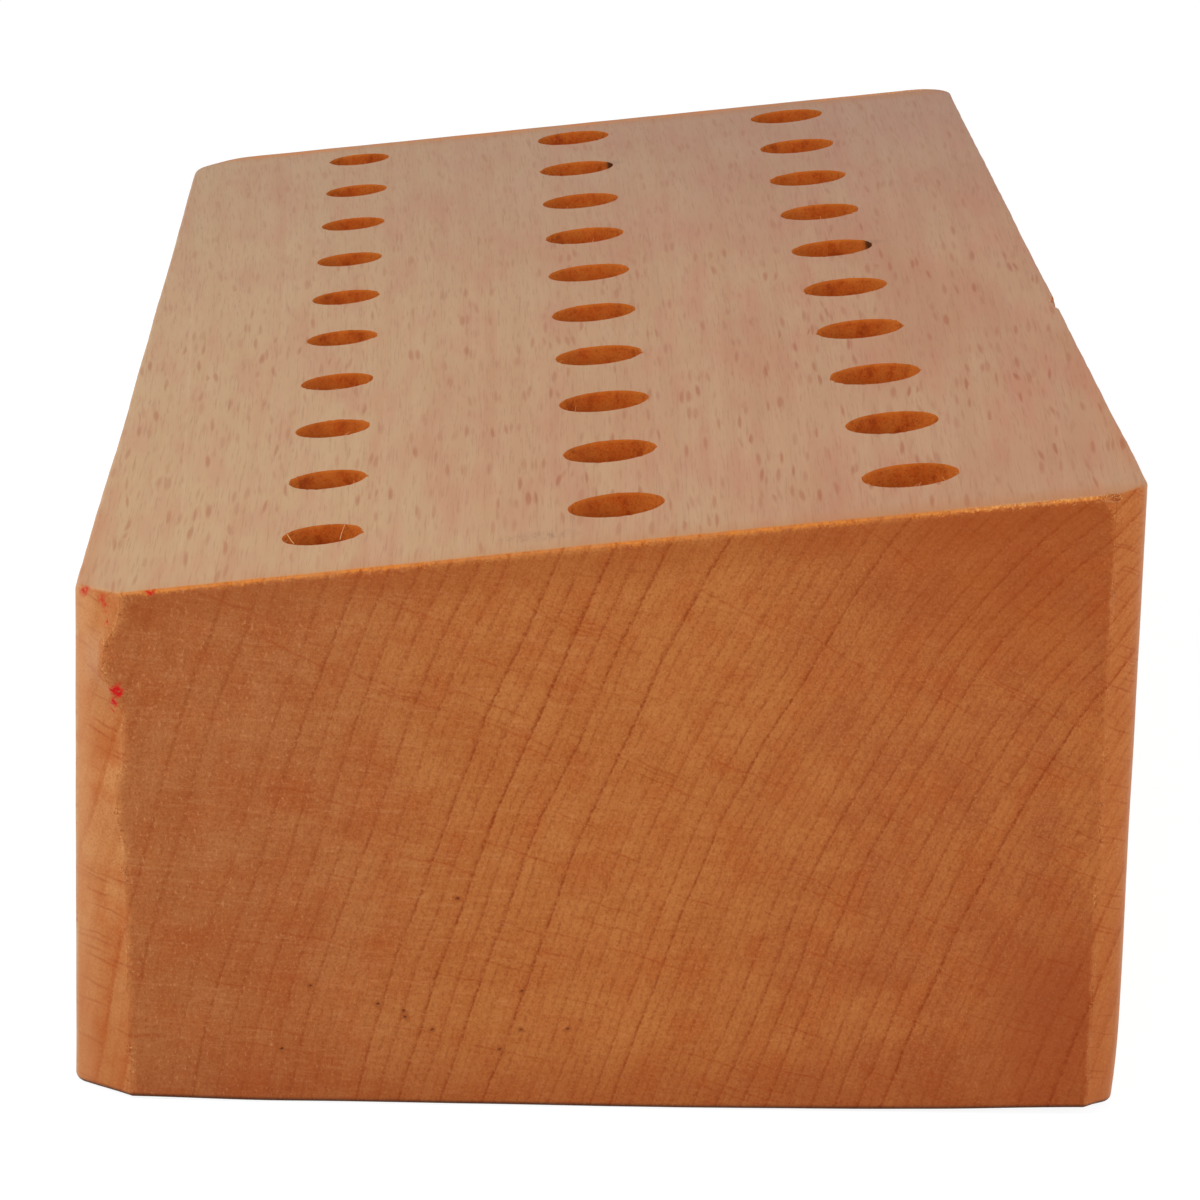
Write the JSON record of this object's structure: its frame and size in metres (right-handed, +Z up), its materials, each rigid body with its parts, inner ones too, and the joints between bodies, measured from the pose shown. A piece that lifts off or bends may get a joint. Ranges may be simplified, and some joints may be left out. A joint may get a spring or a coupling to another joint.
{
  "type": "screwdriver holder",
  "caption": "One-piece beech block with a sloping top, drilled with rows of blind holes that hold screwdrivers or other slim tools upright.",
  "frame": {"origin": "middle of the block's length and width, on the plane of its base", "axes": "+X along the length, towards the end seen in the picture; +Y from the low front side to the high back side; +Z up"},
  "size_m": [0.15, 0.065, 0.0399],
  "materials": {
    "beech": "satin"
  },
  "bodies": {
    "root": {"holder_block": "beech"}
  },
  "joints": []
}
